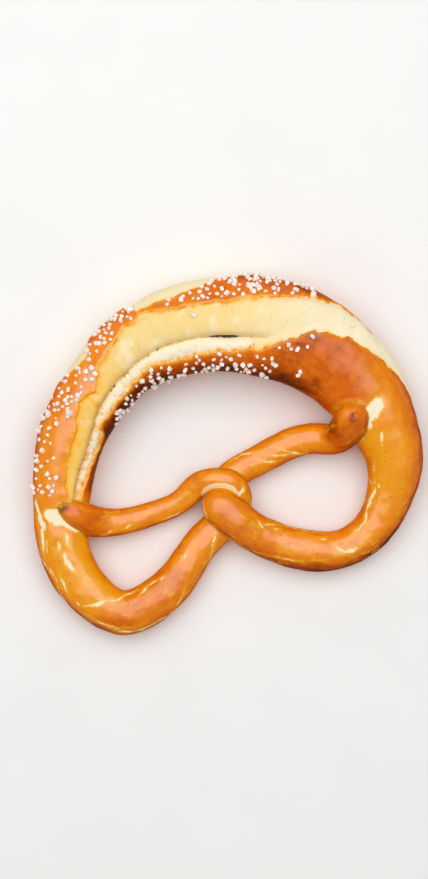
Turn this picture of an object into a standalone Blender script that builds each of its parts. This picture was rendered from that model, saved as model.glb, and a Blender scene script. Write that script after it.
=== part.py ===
"""A soft lye pretzel, lying on its flat baked side with its split, salted face up.

The dough is one rope: a fat belly, a loop on each side, a double twist where the loops meet, and two thin
arms whose ends are pressed on to the loops. The rope is built as four lofted strands which one Boolean
union joins, together with the coarse salt. X runs across the pretzel, Y from the twist to the belly, and Z
up from the flat baked side. Lengths below are millimetres.
"""

import math

import bmesh
import bpy
import numpy as np
from mathutils import Euler, Matrix, Vector

MM = 0.001

# The rope's route. Each station is x, y, half the rope's width, and the lift of its underside from the tray.
LEFT_ARM = (
    (-75.0, -6.0, 3.1, 15.5),
    (-69.5, -12.0, 5.9, 12.5),
    (-62.5, -18.5, 6.5, 4.5),
    (-49.5, -22.5, 6.2, 1.5),
    (-35.5, -23.0, 5.6, 0.5),
    (-23.0, -21.5, 5.4, 1.5),
    (-12.0, -16.5, 5.5, 5.0),
    (-3.5, -17.0, 5.4, 8.5),
    (2.5, -22.0, 5.7, 7.0),
    (2.0, -29.0, 6.1, 3.0),
    (-3.5, -34.5, 6.2, 1.0),
)
LEFT_SIDE = (
    (1.5, -32.0, 6.2, 0.5),
    (-10.0, -37.5, 7.6, 0.0),
    (-21.5, -44.0, 8.1, 0.0),
    (-32.5, -53.0, 8.6, 0.0),
    (-47.0, -60.5, 9.6, 0.0),
    (-62.5, -62.0, 10.1, 0.0),
    (-73.0, -51.5, 10.4, 0.0),
    (-78.5, -36.5, 11.0, 0.0),
    (-78.5, -19.5, 11.8, 0.0),
    (-73.0, -2.5, 12.9, 0.0),
    (-63.5, 17.0, 14.7, 0.0),
    (-47.5, 34.5, 16.0, 0.0),
    (-28.0, 47.0, 17.4, 0.0),
    (-5.0, 52.0, 20.2, 0.0),
    (20.0, 49.0, 21.6, 0.0),
)
RIGHT_SIDE = (
    (20.0, 49.0, 21.6, 0.0),
    (39.5, 40.0, 22.2, 0.0),
    (56.0, 27.0, 21.4, 0.0),
    (67.5, 9.0, 18.8, 0.0),
    (74.0, -11.0, 16.0, 0.0),
    (75.0, -30.0, 13.2, 0.0),
    (68.5, -46.5, 10.7, 0.0),
    (55.5, -59.5, 9.1, 0.0),
    (40.0, -63.5, 8.8, 0.0),
    (26.0, -60.0, 9.2, 0.0),
    (12.0, -51.5, 9.0, 0.5),
    (1.0, -40.0, 8.9, 5.0),
    (-5.5, -29.5, 8.7, 7.0),
    (-10.5, -21.5, 7.9, 6.0),
)
RIGHT_ARM = (
    (-9.5, -26.5, 5.6, 2.0),
    (-3.0, -20.0, 6.5, 1.0),
    (7.0, -16.0, 6.7, 0.0),
    (19.5, -13.5, 6.9, 0.5),
    (33.0, -11.5, 7.0, 1.5),
    (44.5, -12.0, 6.9, 2.5),
    (52.0, -12.5, 7.1, 6.5),
    (58.5, -10.0, 7.2, 14.0),
    (65.0, -6.5, 6.2, 19.0),
)
ARM_RING_GAP = 3.8
SIDE_RING_GAP = 4.5
DOME_RINGS = (0.0, 0.06, 0.2, 0.45, 0.75, 1.0)

DOME_LEAST = 0.12

# The rope's section: thin rope is nearly as high as it is wide, and the belly is flatter. It is a little
# squarer than an ellipse, and where it lies on the tray its underside sags flat.
HEIGHT_SHARE = 0.95
HEIGHT_LOSS = 0.007
ROUNDNESS = 2.2
SAG = 0.2
SAG_LIFT = 3.0
FLAT_EDGE = 65.0

# The split along the belly. Each pair is a distance along the rope from the belly's crown, and the angle
# round the rope: 0 faces out of the pretzel, 90 faces up and 180 faces into it.
SPLIT_OUTER = ((-120, 112), (-104, 97), (-80, 93), (-60, 79), (-35, 44), (-17, 72), (5, 67), (25, 48),
               (45, 4), (70, -14), (90, -8))
SPLIT_VALLEY = ((-120, 121), (-84, 130), (-60, 109), (-32, 101), (0, 110), (22, 104), (45, 58), (90, -2))
SPLIT_INNER = ((-120, 130), (-95, 146), (-78, 131), (-62, 137), (-40, 117), (0, 127), (16, 118), (28, 93),
               (43, 67), (62, 37), (90, 4))
SPLIT_FROM, SPLIT_TO = -121.0, 88.0
SPLIT_FADE = 7.0
SPLIT_BLEND = 45.0
UNSPLIT = (45.0, 90.0, 135.0)
LIP_ANGLE = 4.5
LIP_SHARE = 0.12
LIP_RISE = 0.4
LIP_DROP = 0.7
CRUMB_BULGE = 1.2
VALLEY_DEPTH = 2.6
TORN_DEPTH = 0.5
VALLEY_TO = 24.0
VALLEY_FADE = 12.0

# Coarse salt on the belly's crust, outside and inside the split. A zone is its start and end along the rope,
# its side of the split, its nearest and farthest angle, and its number of grains; inside the split the
# nearest angle counts from the split's edge.
SALT_SEED = 11
SALT_GAP = 2.7
SALT_SIDE = (1.7, 2.5)
SALT_SUNK = 0.34
SALT_OFF_EDGE = 5.0
SALT_TRIES = 60
SALT_ZONES = (
    (-112.0, -84.0, "outer", 10.0, 72.0, 18),
    (-82.0, -36.0, "outer", 10.0, 88.0, 32),
    (-20.0, 36.0, "outer", 2.0, 66.0, 44),
    (-70.0, 34.0, "inner", 4.0, 170.0, 40),
)

CRUST_COLOUR = (0.50, 0.17, 0.025, 1.0)
CRUST_ROUGHNESS = 0.38


def natural_cubic(knots, values, at):
    """The smooth curve through values at knots, read at the given places."""
    knots, values, at = (np.asarray(a, float) for a in (knots, values, at))
    gaps = np.diff(knots)
    count = len(knots)
    system = np.eye(count)
    sides = np.zeros_like(values)
    for i in range(1, count - 1):
        system[i, i - 1 : i + 2] = gaps[i - 1], 2 * (gaps[i - 1] + gaps[i]), gaps[i]
        sides[i] = 6 * ((values[i + 1] - values[i]) / gaps[i] - (values[i] - values[i - 1]) / gaps[i - 1])
    bends = np.linalg.solve(system, sides)
    span = np.clip(np.searchsorted(knots, at) - 1, 0, count - 2)
    gap = gaps[span][:, None]
    before, after = (knots[span + 1] - at)[:, None], (at - knots[span])[:, None]
    return (
        (bends[span] * before**3 + bends[span + 1] * after**3) / (6 * gap)
        + (values[span] / gap - bends[span] * gap / 6) * before
        + (values[span + 1] / gap - bends[span + 1] * gap / 6) * after
    )


def along(table, place):
    """A table of (place, value) pairs, read between its rows with eased steps."""
    places, values = zip(*table, strict=True)
    span = int(np.clip(np.searchsorted(places, place) - 1, 0, len(places) - 2))
    share = np.clip((place - places[span]) / (places[span + 1] - places[span]), 0, 1)
    eased = 0.5 * share + 0.5 * share * share * (3 - 2 * share)
    return values[span] + (values[span + 1] - values[span]) * eased


def eased_step(value, start, end):
    share = min(max((value - start) / (end - start), 0.0), 1.0)
    return share * share * (3 - 2 * share)


def rounded_end(distance, reach):
    """How much of the full section is there at this distance from a domed end."""
    share = min(max(distance / reach, 0.0), 1.0)
    return max(math.sqrt(1 - (1 - share) ** 2), DOME_LEAST)


class Strand:
    """One stretch of the rope: its centre line, its width and height, and its distance from the crown."""

    def __init__(self, stations, ring_gap, crown=None):
        rows = np.array(stations)
        widths = rows[:, 2]
        rows = np.column_stack([rows, 2 * widths * (HEIGHT_SHARE - HEIGHT_LOSS * widths)])
        knots = np.concatenate([[0.0], np.cumsum(np.hypot(*np.diff(rows[:, :2], axis=0).T))])
        start_reach, end_reach = rows[0, 2], rows[-1, 2]
        fixed = [0.0, knots[-1]] if crown is None else [0.0, knots[crown], knots[-1]]
        self.places = self._places(fixed, ring_gap, start_reach, end_reach)
        dense = natural_cubic(knots, rows, self.places)
        self.widths, self.heights = dense[:, 2], dense[:, 4]
        self.lifts = np.maximum(dense[:, 3], 0.0)
        self.shares = np.array(
            [rounded_end(p, start_reach) * rounded_end(knots[-1] - p, end_reach) for p in self.places]
        )
        self.middle = np.column_stack([dense[:, :2], self.lifts + 0.5 * self.heights])
        self.headings = np.gradient(self.middle, self.places, axis=0)
        self.from_crown = None if crown is None else self.places - knots[crown]

    @staticmethod
    def _places(fixed, ring_gap, start_reach, end_reach):
        """Distances of the rings along the strand, closer together on its domed ends."""
        places = set()
        for low, high in zip(fixed, fixed[1:], strict=False):
            places |= set(np.linspace(low, high, max(2, round((high - low) / ring_gap)) + 1))
        length = fixed[-1]
        places = {p for p in places if start_reach < p < length - end_reach}
        places |= {start_reach * share for share in DOME_RINGS}
        places |= {length - end_reach * share for share in DOME_RINGS}
        return np.array(sorted(places))

    def split_angles(self, ring):
        """The angles of the split's outer edge, valley and inner edge, and how far it is open there."""
        if self.from_crown is None:
            return (*UNSPLIT, 0.0)
        place = self.from_crown[ring]
        opening = eased_step(place, SPLIT_FROM, SPLIT_FROM + SPLIT_FADE)
        opening *= 1 - eased_step(place, SPLIT_TO - SPLIT_FADE, SPLIT_TO)
        near = eased_step(place, SPLIT_FROM - SPLIT_BLEND, SPLIT_FROM)
        near *= 1 - eased_step(place, SPLIT_TO, SPLIT_TO + SPLIT_BLEND)
        edges = [along(table, place) for table in (SPLIT_OUTER, SPLIT_VALLEY, SPLIT_INNER)]
        outer, valley, inner = (near * e + (1 - near) * u for e, u in zip(edges, UNSPLIT, strict=True))
        return outer, valley, inner, opening

    def section(self, ring):
        """(angle, relief) pairs round the rope, from the middle of the flat side, out, up and back."""
        outer, valley, inner, opening = self.split_angles(ring)
        lip = min(LIP_ANGLE, LIP_SHARE * (inner - outer))
        valley = min(max(valley, outer + 3 * lip), inner - 2 * lip)
        place = 0.0 if self.from_crown is None else self.from_crown[ring]
        deep = 1 - eased_step(place, VALLEY_TO - VALLEY_FADE, VALLEY_TO)
        bulge_from, torn_to = outer + lip, inner - lip
        rows = [(-90.0, 0.0), (-FLAT_EDGE, 0.0)]
        rows += [(a, 0.0) for a in np.linspace(-FLAT_EDGE, outer, 6)[1:-1]]
        rows += [(outer, LIP_RISE), (bulge_from, -LIP_DROP)]
        rows += [
            (bulge_from + (valley - bulge_from) * share, CRUMB_BULGE * math.sin(math.pi * share))
            for share in (0.25, 0.5, 0.75)
        ]
        rows += [(valley, -VALLEY_DEPTH * deep), ((valley + torn_to) / 2, -TORN_DEPTH * deep)]
        rows += [(torn_to, -LIP_DROP), (inner, LIP_RISE)]
        rows += [(a, 0.0) for a in np.linspace(inner, 180.0 + FLAT_EDGE, 7)[1:]]
        return [(angle, relief * opening) for angle, relief in rows]

    def point(self, ring, angle, relief=0.0):
        """A point on the rope's surface, raised by the relief, never below the tray."""
        heading = Vector(self.headings[ring]).normalized()
        side = Vector((-heading.y, heading.x, 0)).normalized()
        rise = heading.cross(side)
        share, turn = self.shares[ring], math.radians(angle)
        half = 0.5 * share * self.heights[ring]
        if math.sin(turn) < 0:
            half *= 1 + SAG * (1 - eased_step(self.lifts[ring], 0.0, SAG_LIFT))
        power = 2 / ROUNDNESS
        out = math.copysign(abs(math.cos(turn)) ** power, math.cos(turn))
        up = math.copysign(abs(math.sin(turn)) ** power, math.sin(turn))
        across = share * self.widths[ring] + relief
        spot = Vector(self.middle[ring]) + side * across * out + rise * (half + relief) * up
        spot.z = max(spot.z, 0.0)
        return spot

    def mesh(self, name):
        """The strand as one closed loft of its rings."""
        shape = bmesh.new()
        loops = []
        for ring in range(len(self.places)):
            spots = [self.point(ring, angle, relief) for angle, relief in self.section(ring)]
            loops.append([shape.verts.new(spot * MM) for spot in spots])
        for first, second in zip(loops, loops[1:], strict=False):
            for i in range(len(first)):
                j = (i + 1) % len(first)
                shape.faces.new((first[i], first[j], second[j], second[i]))
        shape.faces.new(loops[0])
        shape.faces.new(loops[-1])
        bmesh.ops.recalc_face_normals(shape, faces=shape.faces)
        bmesh.ops.triangulate(shape, faces=shape.faces, quad_method="BEAUTY")
        data = bpy.data.meshes.new(name)
        shape.to_mesh(data)
        shape.free()
        return bpy.data.objects.new(name, data)


def salt_spots(sides):
    """Places and upward directions of the salt, drawn evenly over each zone and kept apart."""
    draw = np.random.default_rng(SALT_SEED)
    spots = []
    for start, end, edge, near, far, count in SALT_ZONES:
        placed, tries = 0, 0
        while placed < count and tries < SALT_TRIES * count:
            tries += 1
            place, share = draw.uniform(start, end), draw.uniform()
            ring = int(np.abs(sides.from_crown - place).argmin())
            outer, _, inner, _ = sides.split_angles(ring)
            low, high = (near, min(far, outer - SALT_OFF_EDGE)) if edge == "outer" else (inner + near, far)
            if high <= low:
                continue
            angle = low + (high - low) * share
            spot = between_rings(sides, place, angle)
            if all((spot - other).length > SALT_GAP for other, _ in spots):
                spots.append((spot, (spot - between_rings(sides, place, angle, -2.0)).normalized()))
                placed += 1
    return spots


def between_rings(strand, place, angle, relief=0.0):
    """A point on the strand at any distance from the crown."""
    after = int(np.clip(np.searchsorted(strand.from_crown, place), 1, len(strand.from_crown) - 1))
    before, after_place = strand.from_crown[after - 1], strand.from_crown[after]
    share = (place - before) / (after_place - before)
    return strand.point(after - 1, angle, relief).lerp(strand.point(after, angle, relief), share)


def salt_grain(spot, up, draw, name):
    """One blunt salt crystal, sunk a little into the crust."""
    sides = draw.uniform(*SALT_SIDE, 3)
    turn = Euler(draw.uniform(0, math.tau, 3)).to_matrix().to_4x4()
    place = Matrix.Translation((spot + up * (0.5 - SALT_SUNK) * sides.min()) * MM)
    shape = bmesh.new()
    bmesh.ops.create_cube(shape, size=1.0, matrix=place @ turn @ Matrix.Diagonal((*(sides * MM), 1)))
    data = bpy.data.meshes.new(name)
    shape.to_mesh(data)
    shape.free()
    return bpy.data.objects.new(name, data)


def crust_material():
    material = bpy.data.materials.new("crust")
    material.use_nodes = True
    shader = material.node_tree.nodes["Principled BSDF"]
    shader.inputs["Base Color"].default_value = CRUST_COLOUR
    shader.inputs["Roughness"].default_value = CRUST_ROUGHNESS
    shader.inputs["Metallic"].default_value = 0.0
    return material


def join(whole, pieces):
    """One Boolean union of the collection's objects into the first strand."""
    union = whole.modifiers.new("Join", "BOOLEAN")
    union.operation = "UNION"
    union.operand_type = "COLLECTION"
    union.collection = pieces
    union.solver = "EXACT"
    union.use_self = True
    with bpy.context.temp_override(object=whole, active_object=whole, selected_objects=[whole]):
        bpy.ops.object.modifier_apply(modifier=union.name)
    for piece in list(pieces.objects):
        bpy.data.objects.remove(piece)
    bpy.data.collections.remove(pieces)


def centre_on_base(whole):
    """Puts the origin at the middle of the pretzel's footprint, on the tray."""
    spots = np.array([v.co for v in whole.data.vertices])
    middle = (spots.min(axis=0) + spots.max(axis=0)) / 2
    whole.data.transform(Matrix.Translation((-middle[0], -middle[1], -spots[:, 2].min())))


def main():
    for thing in list(bpy.data.objects):
        bpy.data.objects.remove(thing)
    model = bpy.data.collections.new("Pretzel")
    pieces = bpy.data.collections.new("Pieces")
    for collection in (model, pieces):
        bpy.context.scene.collection.children.link(collection)

    sides = Strand(LEFT_SIDE + RIGHT_SIDE[1:], SIDE_RING_GAP, crown=len(LEFT_SIDE) - 1)
    pretzel = sides.mesh("pretzel")
    model.objects.link(pretzel)
    pieces.objects.link(Strand(LEFT_ARM, ARM_RING_GAP).mesh("left_arm"))
    pieces.objects.link(Strand(RIGHT_ARM, ARM_RING_GAP).mesh("right_arm"))
    draw = np.random.default_rng(SALT_SEED)
    for number, (spot, up) in enumerate(salt_spots(sides)):
        pieces.objects.link(salt_grain(spot, up, draw, f"salt_{number}"))

    bpy.context.view_layer.update()
    join(pretzel, pieces)
    centre_on_base(pretzel)
    pretzel.data.materials.clear()
    pretzel.data.materials.append(crust_material())


main()
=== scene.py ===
"""The looks of a soft lye pretzel: glossy baked crust, a torn pale split, hairline cracks and coarse salt.

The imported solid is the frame. The dough is modelled again in full detail along the same rope route and
replaces the solid, and the salt is a piece of its own. Tables hold millimetres and degrees, and what
Blender gets is metres. A place along the rope is counted from the belly's crown, and an angle round the
rope is 0 out of the pretzel, 90 up and 180 into it.
"""

import logging
import math
from collections.abc import Sequence
from dataclasses import dataclass, field
from enum import Enum

import bpy
import numpy as np
from mathutils import Euler, Matrix, Vector, noise
from mathutils.bvhtree import BVHTree
from mathutils.kdtree import KDTree


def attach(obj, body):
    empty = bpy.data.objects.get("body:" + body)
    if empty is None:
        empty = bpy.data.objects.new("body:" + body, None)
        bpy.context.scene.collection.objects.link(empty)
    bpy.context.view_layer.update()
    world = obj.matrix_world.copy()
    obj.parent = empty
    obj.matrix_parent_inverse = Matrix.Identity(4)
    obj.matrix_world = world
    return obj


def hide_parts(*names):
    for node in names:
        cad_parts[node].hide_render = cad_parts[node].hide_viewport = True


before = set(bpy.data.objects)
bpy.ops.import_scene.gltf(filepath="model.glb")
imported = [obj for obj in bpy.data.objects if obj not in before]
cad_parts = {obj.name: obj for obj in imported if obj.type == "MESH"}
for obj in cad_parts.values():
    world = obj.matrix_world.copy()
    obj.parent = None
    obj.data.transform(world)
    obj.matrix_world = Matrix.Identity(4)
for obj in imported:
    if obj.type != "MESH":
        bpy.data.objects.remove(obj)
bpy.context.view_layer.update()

log = logging.getLogger("pretzel")

Stations = tuple[tuple[float, float, float, float], ...]
Table = tuple[tuple[float, float], ...]
Pair = tuple[float, float]
Colour = tuple[float, ...]
Socket = bpy.types.NodeSocket
Value = Socket | float | tuple[float, ...]

MM = 0.001
PHOTO_ROLL = math.radians(17.3)
SEED_STEP = 17.3
FULL_SWING = 1.6

# The rope's route: x, y, half the width, and the lift of the underside. Only the tips leave the solid's.
LEFT_ARM: Stations = (
    (-75.0, -6.0, 2.9, 15.5),
    (-70.0, -12.0, 5.8, 12.5),
    (-63.5, -18.0, 7.2, 5.0),
    (-56.5, -21.0, 6.6, 2.5),
    (-49.5, -22.5, 6.2, 1.5),
    (-35.5, -23.0, 5.6, 0.5),
    (-23.0, -21.5, 5.4, 1.5),
    (-12.0, -16.5, 5.5, 5.0),
    (-3.5, -17.0, 5.4, 8.5),
    (2.5, -22.0, 5.7, 7.0),
    (2.0, -29.0, 6.1, 3.0),
    (-3.5, -34.5, 6.2, 1.0),
)
LEFT_SIDE: Stations = (
    (1.5, -32.0, 6.2, 0.5),
    (-10.0, -37.5, 7.6, 0.0),
    (-21.5, -44.0, 8.1, 0.0),
    (-32.5, -53.0, 8.6, 0.0),
    (-47.0, -60.5, 9.6, 0.0),
    (-62.5, -62.0, 10.1, 0.0),
    (-73.0, -51.5, 10.4, 0.0),
    (-78.5, -36.5, 11.0, 0.0),
    (-78.5, -19.5, 11.8, 0.0),
    (-73.0, -2.5, 12.9, 0.0),
    (-63.5, 17.0, 14.7, 0.0),
    (-47.5, 34.5, 16.0, 0.0),
    (-28.0, 47.0, 17.4, 0.0),
    (-5.0, 52.0, 20.2, 0.0),
)
RIGHT_SIDE: Stations = (
    (20.0, 49.0, 21.6, 0.0),
    (39.5, 40.0, 22.2, 0.0),
    (56.0, 27.0, 21.4, 0.0),
    (67.5, 9.0, 18.8, 0.0),
    (74.0, -11.0, 16.0, 0.0),
    (75.0, -30.0, 13.2, 0.0),
    (68.5, -46.5, 10.7, 0.0),
    (55.5, -59.5, 9.1, 0.0),
    (40.0, -63.5, 8.8, 0.0),
    (26.0, -60.0, 9.2, 0.0),
    (12.0, -51.5, 9.0, 0.5),
    (1.0, -40.0, 8.9, 5.0),
    (-5.5, -29.5, 8.7, 7.0),
    (-10.5, -21.5, 7.9, 6.0),
)
RIGHT_ARM: Stations = (
    (-9.5, -26.5, 5.6, 2.0),
    (-3.0, -20.0, 6.5, 1.0),
    (7.0, -16.0, 6.7, 0.0),
    (19.5, -13.5, 6.9, 0.5),
    (33.0, -11.5, 7.0, 1.5),
    (44.5, -13.0, 6.9, 2.0),
    (52.0, -15.0, 7.0, 6.0),
    (58.0, -12.5, 7.8, 12.5),
    (61.5, -7.5, 7.7, 18.0),
    (63.5, -1.5, 6.2, 20.5),
)


class Part(Enum):
    """The rope's stretches, with the length at which each one's surface pattern starts."""

    LEFT_ARM = -2000.0
    SIDES = 0.0
    RIGHT_ARM = 2000.0


def natural_cubic(knots: np.ndarray, values: np.ndarray, at: np.ndarray) -> np.ndarray:
    """The smooth curve through values at knots.

    Args:
        knots: Rising places of the values.
        values: One row for each knot.
        at: Places to read the curve at.

    Returns:
        One row for each place.
    """
    gaps = np.diff(knots)
    count = len(knots)
    system = np.eye(count)
    sides = np.zeros_like(values)
    for i in range(1, count - 1):
        system[i, i - 1 : i + 2] = gaps[i - 1], 2 * (gaps[i - 1] + gaps[i]), gaps[i]
        sides[i] = 6 * ((values[i + 1] - values[i]) / gaps[i] - (values[i] - values[i - 1]) / gaps[i - 1])
    bends = np.linalg.solve(system, sides)
    span = np.clip(np.searchsorted(knots, at) - 1, 0, count - 2)
    gap = gaps[span][:, None]
    before, after = (knots[span + 1] - at)[:, None], (at - knots[span])[:, None]
    return (
        (bends[span] * before**3 + bends[span + 1] * after**3) / (6 * gap)
        + (values[span] / gap - bends[span] * gap / 6) * before
        + (values[span + 1] / gap - bends[span + 1] * gap / 6) * after
    )


def eased(value: np.ndarray, start: float, end: float) -> np.ndarray:
    """A smooth step from 0 at start to 1 at end."""
    share = np.clip((np.asarray(value, float) - start) / (end - start), 0, 1)
    return share * share * (3 - 2 * share)


def window(value: np.ndarray, low: float, high: float, fade: float) -> np.ndarray:
    """1 between low and high, falling to 0 over the fade outside them."""
    return eased(value, low - fade, low) * (1 - eased(value, high, high + fade))


def along(table: Table, place: np.ndarray) -> np.ndarray:
    """A table of (place, value) pairs, read between its rows with half-eased steps.

    Args:
        table: Rising places, each with its value.
        place: Places to read the table at.

    Returns:
        One value for each place.
    """
    places, values = (np.array(column, float) for column in zip(*table, strict=True))
    span = np.clip(np.searchsorted(places, place) - 1, 0, len(places) - 2)
    share = np.clip((place - places[span]) / (places[span + 1] - places[span]), 0, 1)
    share = 0.5 * share + 0.5 * share * share * (3 - 2 * share)
    return values[span] + (values[span + 1] - values[span]) * share


def lumps(spots: np.ndarray, size: float, seed: float) -> np.ndarray:
    """Smooth noise from about -1 to 1.

    Args:
        spots: Points in millimetres, in the last axis.
        size: Width of a lump in millimetres.
        seed: Shifts the pattern.

    Returns:
        One value for each point.
    """
    flat = spots.reshape(-1, 3) / size + seed * SEED_STEP
    return np.array([noise.noise(Vector(p)) for p in flat]).reshape(spots.shape[:-1]) * FULL_SWING


def ragged(place: np.ndarray, seed: int, waves: Sequence[float]) -> np.ndarray:
    """An uneven line along the rope, from about -1 to 1, made of sine waves of the given lengths.

    Args:
        place: Distance along the rope.
        seed: Picks how the waves are shifted.
        waves: Lengths of the waves in millimetres.

    Returns:
        One value for each place.
    """
    draw = np.random.default_rng(seed)
    total = sum(np.sin(place * math.tau / w + draw.uniform(0, math.tau)) * w**0.5 for w in waves)
    return total / sum(w**0.5 for w in waves) * FULL_SWING


def select_only(*things: bpy.types.Object) -> None:
    """Selects these objects alone and makes the first one active.

    Args:
        things: The objects, the active one first.
    """
    bpy.ops.object.select_all(action="DESELECT")
    for thing in things:
        thing.select_set(True)
    bpy.context.view_layer.objects.active = things[0]


@dataclass(frozen=True)
class Tear:
    """One place where the crust has cracked or rubbed to the pale dough: a lens on the rope's surface."""

    place: float
    angle: float
    half_length: float
    half_width: float
    tilt: float
    part: Part = Part.SIDES


def tears(part: Part, *rows: tuple[float, float, float, float, float]) -> tuple[Tear, ...]:
    """Tears on one stretch: place, angle, half length, half width and tilt of each."""
    return tuple(Tear(*row, part) for row in rows)


TEARS: tuple[Tear, ...] = (
    *tears(
        Part.SIDES,
        (80.0, 97.0, 5.8, 3.3, 60.0),
        (83.5, 109.0, 4.2, 1.4, 40.0),
        (90.0, 138.0, 3.6, 0.3, 62.0),
        (92.5, 103.0, 3.3, 0.5, 20.0),
        (109.0, 138.0, 1.9, 0.3, 10.0),
        (117.0, 156.0, 2.2, 0.35, -61.0),
        (117.0, 137.0, 1.5, 0.35, -10.0),
        (118.0, 125.0, 1.0, 0.35, -17.0),
        (123.5, 138.0, 3.8, 0.85, 9.0),
        (129.5, 141.0, 3.6, 0.9, -4.0),
        (135.5, 132.0, 4.2, 0.55, -28.0),
        (142.0, 121.0, 3.6, 0.4, -6.0),
        (157.0, 90.0, 2.9, 0.55, 40.0),
        (152.5, 79.0, 3.4, 0.65, 2.0),
        (165.0, 128.0, 1.0, 0.3, 9.0),
        (-123.5, 39.0, 3.6, 1.0, -30.0),
        (-128.5, 50.0, 4.0, 1.7, -20.0),
        (-135.0, 48.0, 5.6, 1.1, 10.0),
        (-139.0, 55.0, 2.2, 0.4, 20.0),
        (-127.0, 88.0, 6.2, 3.3, -68.0),
        (-131.0, 113.0, 5.4, 1.9, -55.0),
        (-137.0, 103.0, 3.0, 0.75, 3.0),
        (-139.5, 86.0, 1.8, 0.4, 8.0),
        (-145.5, 89.0, 2.6, 0.55, 12.0),
        (-149.5, 92.0, 3.0, 0.95, -6.0),
        (-157.5, 109.0, 0.8, 0.3, 0.0),
        (-155.0, 58.0, 3.1, 0.55, 8.0),
        (-165.0, 56.0, 0.9, 0.45, 15.0),
        (-168.0, 70.0, 1.6, 0.3, -57.0),
        (-171.0, 91.0, 4.0, 0.6, -54.0),
        (-178.0, 124.0, 6.6, 0.42, -33.0),
        (-188.0, 147.0, 4.3, 0.4, -4.0),
        (-197.5, 132.0, 2.5, 0.35, -20.0),
        (-201.5, 135.0, 2.6, 0.35, 11.0),
        (-207.5, 125.0, 1.0, 0.35, 10.0),
        (-178.0, 50.0, 3.1, 0.35, -3.0),
        (-184.0, 37.0, 2.7, 0.4, 18.0),
        (-189.0, 30.0, 2.9, 0.45, 8.0),
        (-195.0, 25.0, 3.6, 0.35, 8.0),
        (-201.0, 18.0, 2.9, 0.3, 18.0),
        (-145.0, 28.0, 3.1, 0.3, -18.0),
        (-149.5, 43.0, 3.2, 0.22, -9.0),
        (-161.0, 19.0, 3.6, 0.22, 22.0),
        (-223.0, 109.0, 1.3, 0.35, 4.0),
        (-207.0, 41.0, 2.2, 0.3, -26.0),
        (-236.5, 72.0, 3.0, 0.3, -31.0),
        (-231.0, 41.0, 2.7, 0.3, -29.0),
        (220.5, 40.0, 3.5, 0.5, 29.0),
        (206.0, 11.0, 3.2, 0.25, 0.0),
        (198.5, 123.0, 1.6, 0.3, 30.0),
        (193.5, 137.0, 3.0, 0.3, -27.0),
        (190.0, 129.0, 0.8, 0.25, 0.0),
        (181.0, 160.0, 3.5, 0.3, 0.0),
        (171.5, 158.0, 4.5, 0.25, 0.0),
        (179.5, 55.0, 2.4, 0.22, -9.0),
    ),
    *tears(
        Part.RIGHT_ARM,
        (21.5, 36.0, 1.8, 0.28, 7.0),
        (26.0, 44.0, 3.6, 0.42, 20.0),
        (34.0, 112.0, 2.2, 0.35, 31.0),
        (40.0, 112.0, 3.4, 0.35, 25.0),
        (46.0, 126.0, 4.0, 0.35, 36.0),
    ),
    *tears(
        Part.LEFT_ARM,
        (88.0, 80.0, 2.2, 0.7, 72.0),
        (24.0, 131.0, 1.7, 0.32, -33.0),
        (32.0, 113.0, 1.1, 0.25, -21.0),
        (53.0, 140.0, 2.9, 0.3, 0.0),
    ),
)


@dataclass(frozen=True)
class ScorchOrPaintedLight:
    """A stretch of crust made darker, or lighter where the change is negative: mostly how it baked, and in
    some rows painted shade or a painted sheen.
    """

    place: float
    angle: float
    half_length: float
    half_angle: float
    change: float
    part: Part = Part.SIDES


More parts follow.
